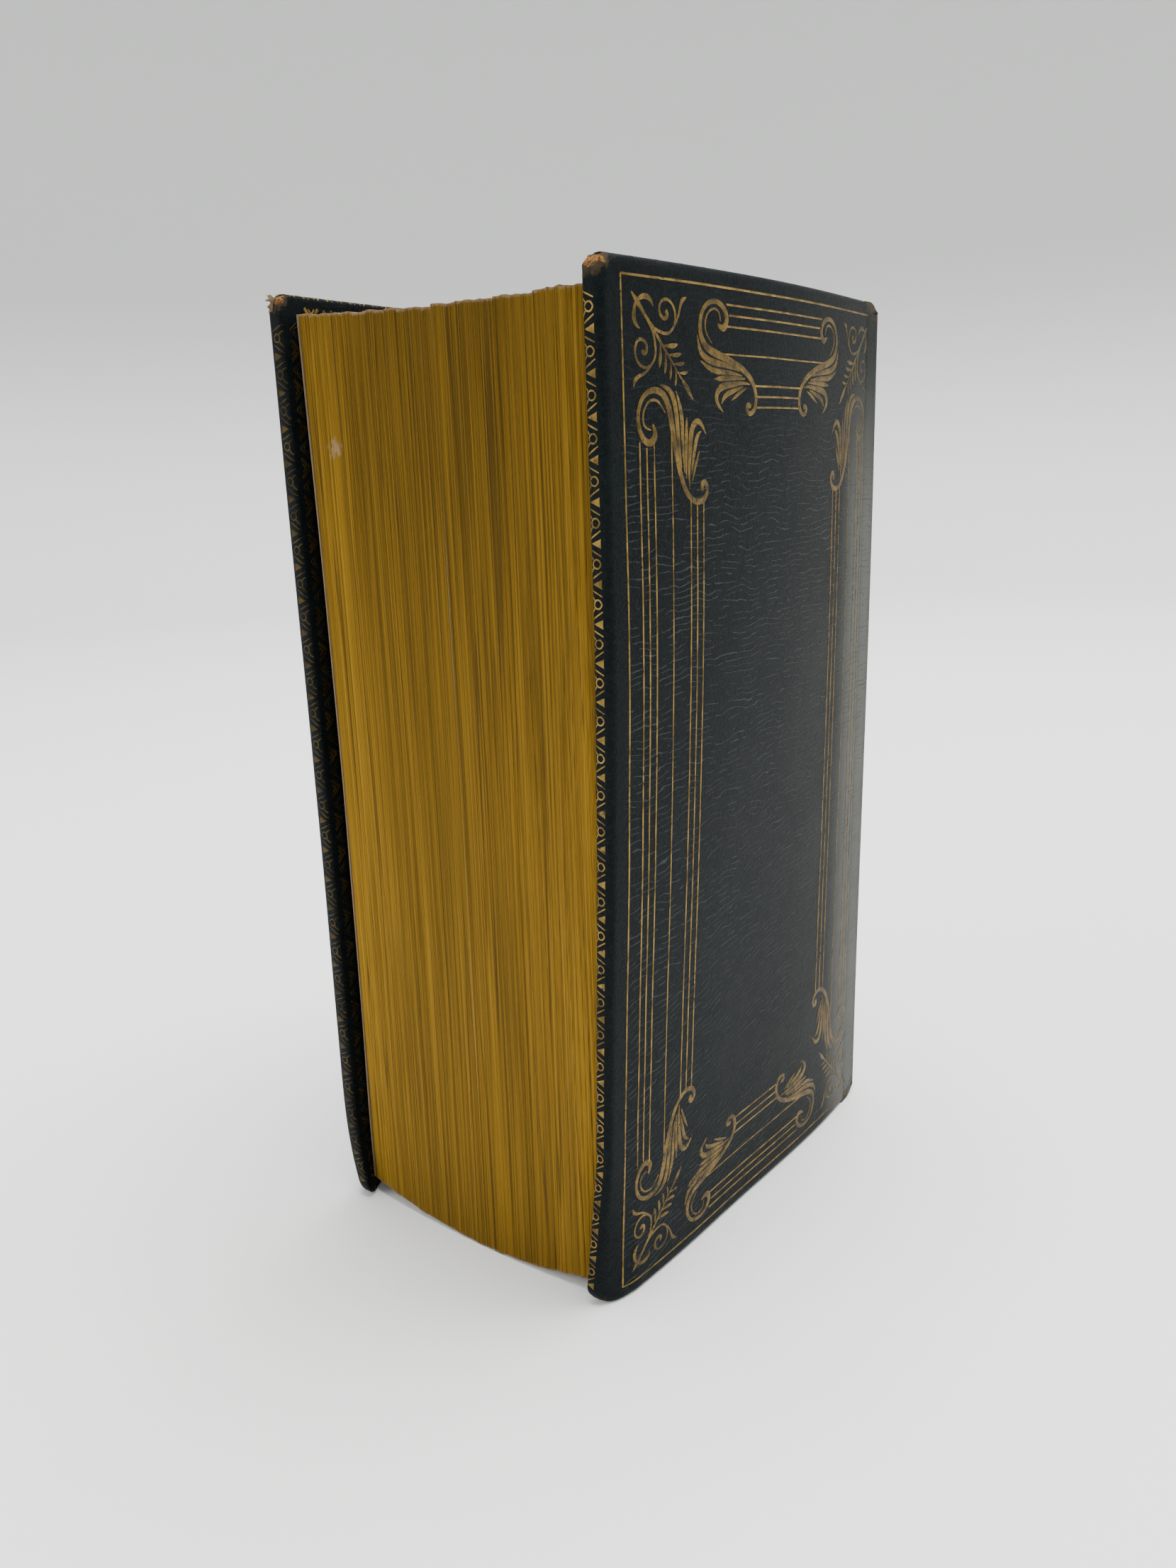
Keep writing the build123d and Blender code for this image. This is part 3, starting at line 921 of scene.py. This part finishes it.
class BOOK_OT_covers(bpy.types.Operator):
    """Make both covers: leather, board, pastedown and the laced cord ends"""
    bl_idname = "book.covers"
    bl_label = "Covers"

    def execute(self, context):
        for name, side in SIDES.items():
            body = name + "_cover"
            skin = piece(name + "_covering_leather", cover_shell(side), ["leather"], body,
                         [name + "_cover_leather"], outward=Vector((side, 0, 0)))
            add_solidify(skin, SKIN * SKIN_SHARE)
            work = bent_slab((SKIN, SKIN, SKIN), (WIDTH - 0.15, HEIGHT - SKIN, THICK - SKIN),
                             BOARD_CUTS, side)
            piece(name + "_pulp_board", work, ["board"], body, [name + "_board"])
            work = bent_slab((TURN_IN - 0.6, TURN_IN - 0.6, -0.02),
                             (WIDTH - 0.3, HEIGHT - TURN_IN + 0.6, 0.38), BOARD_CUTS, side)
            piece(name + "_pasted_endpaper", work, ["endpaper"], body, [name + "_pastedown"])
            work = bmesh.new()
            for z in BANDS:
                strip = bent_slab((WIDTH - SLIP_LENGTH, z - SLIP_HALF, 0.42),
                                  (WIDTH - 0.4, z + SLIP_HALF, 0.8), (4, 6, 1), side)
                mesh = to_mesh("strip", strip)
                work.from_mesh(mesh)
                bpy.data.meshes.remove(mesh)
            piece(name + "_laced_slips", work, ["cord"], body, [name + "_laced_cord_slips"])
        return {"FINISHED"}


class BOOK_OT_tooling(bpy.types.Operator):
    """Tool both covers, their edges and their turn-ins in gold"""
    bl_idname = "book.tooling"
    bl_label = "Gold tooling"

    def execute(self, context):
        lines, scrolls, sprays = cover_designs()
        end_rolls = [[(v, u, w) for u, v, w in stroke] for stroke in turn_in_roll(WIDTH, 6.0)]
        end_rolls += [[(u, HEIGHT - v, w) for u, v, w in stroke] for stroke in end_rolls]
        for name, side in SIDES.items():
            for part, strokes, place, finish in (
                    ("ruled_lines", lines, on_outer_face, "gold"),
                    ("leaf_scrolls", scrolls, on_outer_face, "engraved gold"),
                    ("corner_sprays", sprays, on_outer_face, "engraved gold"),
                    ("fore_edge_roll", edge_roll(HEIGHT), on_fore_edge, EDGE_GOLD[side]),
                    ("head_edge_roll", edge_roll(WIDTH), on_head_edge, "gold"),
                    # the fore turn-in's darker gold is painted shade
                    ("fore_turn_in_roll", turn_in_roll(HEIGHT, 2.0), on_inner_face, "darker gold"),
                    ("end_turn_in_rolls", end_rolls, on_inner_face, "gold")):
                tooled(f"{name}_{part}", strokes, place, side, name + "_cover", finish)
        tooled("front_frayed_corner", frayed_corner(), on_board_middle, SIDES["front"], "front_cover",
               "frayed board")
        return {"FINISHED"}


# ---- The leaves
GATHERINGS = 12  # on each side of the middle
BULGE = 1.4  # how far the lower fore edge has bulged
MIDDLE_GAP = 0.015
FLYLEAF_ROOM = 0.45  # room outside the last gathering
GROOVE = 0.07  # between leaves
FOLD_GROOVE = 0.05  # added between gatherings


def leaf_place(x, y, z, side):
    """Leaves slump between the boards: most in the middle of the fore edge, not at all at the spine."""
    free = smooth((JOINT_Y - y) / (JOINT_Y - TEXT_FORE_Y))
    across = max(0, 1 - (x / HALF_TEXT) ** 2)
    level = 0.3 + 0.7 * (TEXT_HIGH - z) / (TEXT_HIGH - TEXT_LOW)
    y -= BULGE * across * (1 - z / HEIGHT) ** 2 * free
    return Vector((side * x, y, z - free * across * level * shape().slump / M))


def spine_arc(offset, x):
    """The y of the round spine at that x, that far outside the folds."""
    return SPINE_CENTRE_Y + math.sqrt((SPINE_RADIUS + offset) ** 2 - x**2)


def gathering(number, side, draw):
    """One folded section: leaf ridges on three edges, fanned out behind the joint to make the shoulder."""
    room = HALF_TEXT - FLYLEAF_ROOM - MIDDLE_GAP
    near_x = MIDDLE_GAP + (number - 1) * room / GATHERINGS
    far_x = MIDDLE_GAP + number * room / GATHERINGS
    ridges = 2 * shape().leaves
    work = slab((0, 0, 0), (ridges, 1, 1), (ridges, 8, 14))
    nearest_end = work.verts.layers.float.new("nearest_end")
    fan = (FOLD_HALF - MIDDLE_GAP) / room
    jog = [draw.uniform(-0.04, 0.04), draw.uniform(-0.10, 0.10), draw.uniform(-0.18, 0.18)]
    for vert in work.verts:
        i, deep, tall = vert.co
        groove = GROOVE if round(i) % 2 else 0.0
        groove += FOLD_GROOVE if round(i) in (0, ridges) else 0.0
        x = near_x + (far_x - near_x) * i / ridges
        fold_y = spine_arc(0, min(x * fan, FOLD_HALF))
        y = TEXT_FORE_Y + (fold_y - TEXT_FORE_Y) * deep
        z = TEXT_LOW + (TEXT_HIGH - TEXT_LOW) * tall
        wave = 0.10 * noise.noise(Vector((x * 0.35, z / 30, side * 2.0)))
        if deep < 1e-4:
            y += groove + wave + jog[0]
        if tall < 1e-4:
            z += groove + jog[1]
        if tall > 1 - 1e-4:
            z -= groove - jog[2] - 0.2 * noise.noise(Vector((x * 0.8, y / 9, side)))
        if y > JOINT_Y:
            x *= 1 + (fan - 1) * smooth((y - JOINT_Y) / 1.2)
        if deep > 1 - 1e-4:
            y -= 0.25 * (2 * i / ridges - 1) ** 4
        vert[nearest_end] = min(tall, 1 - tall) * (TEXT_HIGH - TEXT_LOW)
        vert.co = leaf_place(x, y, z, side) * M
    work.normal_update()
    bmesh.ops.recalc_face_normals(work, faces=work.faces[:])
    work.normal_update()
    for face in work.faces:
        outermost = face.normal.x * side > 0.8 and number == GATHERINGS
        innermost = face.normal.x * side < -0.8 and number == 1
        face.material_index = int(outermost or innermost)
    return work


class BOOK_OT_leaves(bpy.types.Operator):
    """Make every gathering of leaves and both flyleaves"""
    bl_idname = "book.leaves"
    bl_label = "Leaves"

    def execute(self, context):
        draw = random.Random(12)
        for name, side in SIDES.items():
            for number in range(1, GATHERINGS + 1):
                node = f"{name}_gathering_{number:02d}"
                piece(f"{name}_leaves_{number:02d}", gathering(number, side, draw), ["leaf edges", "paper"],
                      name + "_half", [node])
            work = slab((leaf_low.x, TEXT_FORE_Y, TEXT_LOW), (leaf_high.x, JOINT_Y, TEXT_HIGH), (1, 16, 24))
            for vert in work.verts:
                x, y, z = vert.co
                x += 0.12 * noise.noise(Vector((side, y / 24, z / 24)))
                vert.co = leaf_place(min(x, HALF_TEXT + 0.1), y, z, side) * M
            piece(name + "_endleaf", work, ["endpaper"], name + "_leaf", [name + "_flyleaf"])
        return {"FINISHED"}


# ---- The spine
def band_rise(z):
    """How far the spine leather stands over the panels at that height."""
    rise = 0.0
    for band in BANDS:
        rise = max(rise, smooth(1 - (abs(z - band) - 0.8) / 1.5))
    return rise * (CORD_OFFSET - PANEL_OFFSET)


CAP_ROUND = 1.1  # the roll of the leather over the endbands
SHOULDER_ROUND = 1.6
SHOULDER_DIP = 1.5  # how far the spine's four corners are drawn in
BAND_FADE = 0.2  # the share of the half width over which the bands die away
GUTTER_HALF = 3.0
WALL_SHARE = 0.06  # the share of the half width that goes down the spine's side


def spine_skin_point(across, tall, lift=0.0):
    """A point of the spine's leather. across runs from -1 to 1, and tall is a height in millimetres that
    may pass the head or tail, where the leather rolls in over the endband."""
    share = min(abs(across) / (1 - WALL_SHARE), 1)
    x = HINGE_X * share
    z = min(max(tall, CAP_ROUND), HEIGHT - CAP_ROUND)
    past = max(tall - (HEIGHT - CAP_ROUND), CAP_ROUND - tall, 0)
    offset = PANEL_OFFSET + lift + band_rise(z) * (1 - smooth((share - 0.80) / BAND_FADE))
    y = spine_arc(offset, x)
    inset = max(0, x - (HINGE_X - SHOULDER_ROUND))
    drop = SHOULDER_ROUND - math.sqrt(max(SHOULDER_ROUND**2 - inset**2, 0))
    down = max(0, (abs(across) - (1 - WALL_SHARE)) / WALL_SHARE)
    y = (y - drop) * (1 - down) + (JOINT_Y + 0.05) * down
    angle = past / CAP_ROUND
    y -= CAP_ROUND * (1 - math.cos(angle)) * (1 - down)
    rise = CAP_ROUND * math.sin(min(angle, math.pi))
    z += rise if tall > HEIGHT / 2 else -rise
    z += (1 - 2 * z / HEIGHT) * SHOULDER_DIP * smooth((share - 0.86) / 0.14)
    return Vector((math.copysign(x, across), y, z)) * M


def spine_leather():
    """The leather over the spine as an open skin, from joint to joint."""
    work = bmesh.new()
    bmesh.ops.create_grid(work, x_segments=64, y_segments=190, size=1.0)
    wear = work.verts.layers.float.new("wear")
    reach = HEIGHT / 2 + CAP_ROUND * 1.4
    for vert in work.verts:
        across, tall = vert.co.x, HEIGHT / 2 + vert.co.y * reach
        ends = max(0, 1 - min(tall, HEIGHT - tall) / 5)
        vert[wear] = min(1, 0.55 * ends**1.5 + 0.32 * band_rise(tall) / (CORD_OFFSET - PANEL_OFFSET))
        vert.co = spine_skin_point(across, tall, 0.05 * noise.noise(Vector((across * 4, tall / 12, 0))))
    return work


SPINE_LINE = 25.5  # half length of the lines beside the bands
PANEL_HALF = 22.5  # half width of a ruled panel
END_LINE = 4.4  # the inner line at the head and tail
BAND_LINE = 3.7  # the outer line beside a band
PANEL_INSET = 2.2
SPRAY_SIZE = 0.62


def spine_designs():
    """Lines beside each band, a ruled panel between bands and a small spray in each panel."""
    lines, sprays = [], []
    for band in BANDS:
        for gap, weight in ((2.9, 0.13), (BAND_LINE, 0.20)):
            for sign in (1, -1):
                z = band + sign * gap
                lines.append(ruled((-SPINE_LINE, z), (SPINE_LINE, z), weight))
        for k in range(22):
            x = -25.2 + k * 2.4
            lines.append([(x - 0.45, band - 0.5, 0.10), (x, band, 0.14), (x + 0.45, band + 0.5, 0.10)])
    for z in (3.2, END_LINE, HEIGHT - END_LINE, HEIGHT - 3.2):
        lines.append(ruled((-SPINE_LINE, z), (SPINE_LINE, z), 0.15))
    edges = [band + gap for band in BANDS for gap in (-BAND_LINE, BAND_LINE)]
    edges = [END_LINE, *edges, HEIGHT - END_LINE]
    for low, high in zip(edges[::2], edges[1::2]):
        low, high = low + PANEL_INSET, high - PANEL_INSET
        lines += ruled_frame((-PANEL_HALF, PANEL_HALF), (low, high), 0.12)
        middle = (low + high) / 2
        size = min(1.0, (high - low) / 26)
        for turn in range(4):
            angle = turn * math.pi / 2
            for stroke in spray_strokes():
                points = []
                for p, q, w in stroke:
                    far = (21.0 - p) * SPRAY_SIZE * size
                    near = q * SPRAY_SIZE * size
                    points.append((far * math.cos(angle) - near * math.sin(angle),
                                   middle + far * math.sin(angle) * 0.9 + near * math.cos(angle), w * 0.75))
                sprays.append(points)
    return lines, sprays


def on_spine(x, z, lift):
    """Gold on the spine, from its width coordinate and height in millimetres."""
    share = abs(x) / HINGE_X * (1 - WALL_SHARE)
    return spine_skin_point(math.copysign(share, x), z, lift + 0.03)


def gutter_fold():
    """The folded paper that shows in the gutter when the book opens at its middle."""
    work = slab((-GUTTER_HALF, 0, TEXT_LOW + 1), (GUTTER_HALF, 0.08, TEXT_HIGH - 1), (24, 1, 40))
    for vert in work.verts:
        x, y, z = vert.co
        vert.co = Vector((x, spine_arc(-0.20, x) + y, z)) * M
    return work


def bend_at_middle(made, crease=5.0):
    """Bakes a spine piece's transform into its mesh."""
    crease *= M
    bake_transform(made)


# Places across the joint and how far the leather stands out there. The joint itself is at JOINT_PLACE.
JOINT_PROFILE = (
    (39.4, -0.25), (38.6, -0.02), (37.6, 0.10), (36.6, 0.16), (35.7, 0.16), (34.8, 0.14),
    (33.6, 0.10), (32.4, 0.05), (31.4, 0.0), (30.8, -0.25))
JOINT_PLACE = 35.75


def joint_strip(side):
    """Leather from the spine's shoulder over the hinge to the board."""
    work = bmesh.new()
    bmesh.ops.create_grid(work, x_segments=len(JOINT_PROFILE) - 1, y_segments=60, size=0.5)
    wear = work.verts.layers.float.new("wear")
    for vert in work.verts:
        index = round((vert.co.x + 0.5) * (len(JOINT_PROFILE) - 1))
        z = 0.15 + (vert.co.y + 0.5) * (HEIGHT - 0.3)
        y, lift = JOINT_PROFILE[index]
        y += JOINT_Y - JOINT_PLACE
        z += (1 - 2 * z / HEIGHT) * (SHOULDER_DIP + 0.2) * smooth((y - JOINT_Y + 2.5) / 4.5)
        if y <= JOINT_Y:
            place = bend(y - FORE_Y, z, THICK + lift, side)
        else:
            corner = max(0, y - (spine_arc(PANEL_OFFSET, HINGE_X) - SHOULDER_ROUND))
            fall = SHOULDER_ROUND - math.sqrt(max(SHOULDER_ROUND**2 - corner**2, 0))
            place = Vector((side * (HINGE_X - fall + lift), y, z)) * M
        vert[wear] = 0.30 + 0.35 * max(0, 1 - min(z, HEIGHT - z) / 6)
        vert.co = place
    return work


class BOOK_OT_spine(bpy.types.Operator):
    """Make the spine's leather over its bands, its tooling and the joints"""
    bl_idname = "book.spine"
    bl_label = "Spine"

    def execute(self, context):
        skin = piece("spine_leather_over_bands", spine_leather(), ["spine leather"], None,
                     ["back_spine_leather", "front_spine_leather"], outward=Vector((0, 1, 0)))
        add_solidify(skin, 0.6)
        bend_at_middle(skin)
        fold = piece("middle_gutter_fold", gutter_fold(), ["paper"], None)
        bend_at_middle(fold, 1.2)
        for name, strokes in zip(("spine_ruled_lines", "spine_sprays"), spine_designs()):
            work = stroke_mesh(strokes, shape().tooling_height / M)
            for vert in work.verts:
                vert.co = on_spine(*vert.co)
            bend_at_middle(piece(name, work, ["gold"], None))
        for name, side in SIDES.items():
            strip = piece(name + "_joint_leather", joint_strip(side), ["leather"], None,
                          outward=Vector((side, 0, 0)))
            add_solidify(strip, 0.25)
            name + "_half"
            name + "_cover"
            side * HINGE_X * M
            side * HINGE_X * M
            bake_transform(strip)
        return {"FINISHED"}


ENDBAND_OFFSET = -1.05  # an endband's middle, from the folds of the leaves
ENDBAND_TURNS = 26


def wound_tube(radius, half_span, z, side, offset, ribs):
    """A round band along the folds with raised turns of thread, from the middle out."""
    work = bmesh.new()
    rings = ribs * 4
    bmesh.ops.create_cone(work, segments=12, radius1=1, radius2=1, depth=1, cap_ends=True)
    cut_evenly(work, 2, cuts_between(-0.5, 0.5, rings))
    for vert in work.verts:
        share = vert.co.z + 0.5
        angle = math.atan2(vert.co.y, vert.co.x)
        x = 0.1 + share * (half_span - 0.1)
        turn = 1 + 0.07 * math.cos(2 * math.pi * ribs * share + angle)
        cap = math.sqrt(max(0.0, 1 - max(0.0, (x - half_span + radius) / radius) ** 2))
        size = radius * turn * max(cap, 0.15)
        y = spine_arc(offset, x) + size * math.cos(angle)
        vert.co = Vector((side * x, y, z + size * math.sin(angle))) * M
    return work


class BOOK_OT_sewing(bpy.types.Operator):
    """Make the endbands and finish the sewing cords, threads and linings"""
    bl_idname = "book.sewing"
    bl_label = "Sewing"

    def execute(self, context):
        plain = {"spine_lining": ("lining", "lining_paper"), "sewing_cords": ("cord", "cord"),
                 "kettle_stitch_thread": ("thread", "thread")}
        for name, side in SIDES.items():
            for place in ("head", "tail"):
                node = f"{name}_{place}_band"
                low, high = box_mm(node)
                reach = high.x if side > 0 else -low.x
                work = wound_tube((high.z - low.z) / 2, reach, (low.z + high.z) / 2, side,
                                  ENDBAND_OFFSET, ENDBAND_TURNS)
                piece(f"{name}_{place}_silk_band", work, ["silk"], name + "_half", [node])
            for part, (finish, slot) in plain.items():
                node = f"{name}_{part}"
                work = bmesh.new()
                work.from_mesh(frame["nodes"][node].data)
                work.transform(frame["nodes"][node].matrix_world)
                bmesh.ops.remove_doubles(work, verts=work.verts[:], dist=1e-3 * M)
                for vert in work.verts:
                    share = abs(vert.co.x) / M / HINGE_X
                    vert.co.y -= (CORD_OFFSET - PANEL_OFFSET) * smooth((share - 0.70) / BAND_FADE) * M
                piece(f"{node}_seen", work, [finish], name + "_half", [node])
        return {"FINISHED"}


# ---- Stage
# Metres, watts and degrees, with the lens in millimetres. A light has a name, a place, a size and a power.
SWEEP_RADIUS = 0.9
SWEEP_CURVE = 0.5
SWEEP_STEPS = 12
WALL_TOP = 2.2
LIGHTS = (
    ("ceiling_light", (0.10, 0.20, 1.20), 0.9, 33.0),
    ("window_light", (-0.60, -1.00, 0.65), 0.9, 7.4),
    ("far_light", (0.9, 0.7, 0.8), 0.8, 4.3))
WORLD_COLOUR = (0.86, 0.88, 0.90, 1)
WORLD_STRENGTH = 1.05
CAMERA_PLACE = (0.12164, -0.17069, 0.12842)
CAMERA_YAW = 37.211
CAMERA_PITCH = 15.562
CAMERA_ROLL = -2.094
CAMERA_LENS = 27.915


class BOOK_OT_stage(bpy.types.Operator):
    """Set up the pale sweep, the soft lights and the camera"""
    bl_idname = "book.stage"
    bl_label = "Stage"

    def execute(self, context):
        self.sweep()
        self.lights(context)
        self.camera(context)
        return {"FINISHED"}

    def sweep(self):
        """A floor that curves up into a wall all round."""
        work = bmesh.new()
        bmesh.ops.create_circle(work, cap_ends=True, segments=96, radius=SWEEP_RADIUS)
        rim = [e for e in work.edges if e.is_boundary]
        for k in range(1, SWEEP_STEPS + 1):
            angle = math.radians(90 * k / SWEEP_STEPS)
            made = bmesh.ops.extrude_edge_only(work, edges=rim)["geom"]
            radius = SWEEP_RADIUS + SWEEP_CURVE * math.sin(angle)
            height = SWEEP_CURVE * (1 - math.cos(angle))
            for vert in (g for g in made if isinstance(g, bmesh.types.BMVert)):
                flat = Vector((vert.co.x, vert.co.y, 0)).normalized() * radius
                vert.co = Vector((flat.x, flat.y, height))
            rim = [g for g in made if isinstance(g, bmesh.types.BMEdge)]
        made = bmesh.ops.extrude_edge_only(work, edges=rim)["geom"]
        for vert in (g for g in made if isinstance(g, bmesh.types.BMVert)):
            vert.co.z = WALL_TOP
        mesh = to_mesh("pale_sweep", work)
        mesh.materials.append(stage_finish())
        mesh.shade_smooth()
        floor = linked("pale_sweep", mesh)

    def lights(self, context):
        """An even room and three soft lights that face the book."""
        world = bpy.data.worlds.new("soft room")
        world.use_nodes = True
        glow = world.node_tree.nodes["Background"].inputs
        glow["Color"].default_value = WORLD_COLOUR
        glow["Strength"].default_value = WORLD_STRENGTH
        context.scene.world = world
        for name, place, size, power in LIGHTS:
            data = bpy.data.lights.new(name, "AREA")
            data.size = size
            data.energy = power
            lamp = linked(name, data)
            lamp.location = place
            aim = Vector((0, 0, HEIGHT * M / 2)) - Vector(place)
            lamp.rotation_euler = aim.to_track_quat("-Z", "Y").to_euler()

    def camera(self, context):
        """A hand-held view of the fore edge and the back cover, a little from above."""
        yaw, pitch, roll = (math.radians(a) for a in (CAMERA_YAW, CAMERA_PITCH, CAMERA_ROLL))
        turned = Matrix.Rotation(yaw, 3, "Z") @ Matrix.Rotation(math.pi / 2 - pitch, 3, "X")
        turned = turned @ Matrix.Rotation(roll, 3, "Z")
        data = bpy.data.cameras.new("view")
        data.lens = CAMERA_LENS
        data.sensor_width = 36.0
        data.clip_start = 0.01
        camera = linked("view", data)
        camera.location = CAMERA_PLACE
        camera.rotation_euler = turned.to_euler()
        context.scene.camera = camera


# ---- Panel and registration
STEPS = ("covers", "tooling", "leaves", "spine", "sewing", "stage")


class BOOK_PT_panel(bpy.types.Panel):
    bl_idname = "BOOK_PT_panel"
    bl_label = "Prayer book"
    bl_space_type = "VIEW_3D"
    bl_region_type = "UI"
    bl_category = "Prayer book"

    def draw(self, context):
        for group in (context.scene.book_shape, context.scene.book_colours):
            for name in group.__annotations__:
                self.layout.prop(group, name)
        for step in STEPS:
            self.layout.operator("book." + step)


CLASSES = (
    BookShape, BookColours, BOOK_OT_covers, BOOK_OT_tooling, BOOK_OT_leaves, BOOK_OT_spine,
    BOOK_OT_sewing, BOOK_OT_stage, BOOK_PT_panel)


def register():
    for cls in CLASSES:
        bpy.utils.register_class(cls)
    bpy.types.Scene.book_shape = bpy.props.PointerProperty(type=BookShape)
    bpy.types.Scene.book_colours = bpy.props.PointerProperty(type=BookColours)


def unregister():
    del bpy.types.Scene.book_shape
    del bpy.types.Scene.book_colours
    for cls in reversed(CLASSES):
        bpy.utils.unregister_class(cls)


def main():
    register()
    for step in STEPS:
        getattr(bpy.ops.book, step)()


if __name__ == "__main__":
    main()
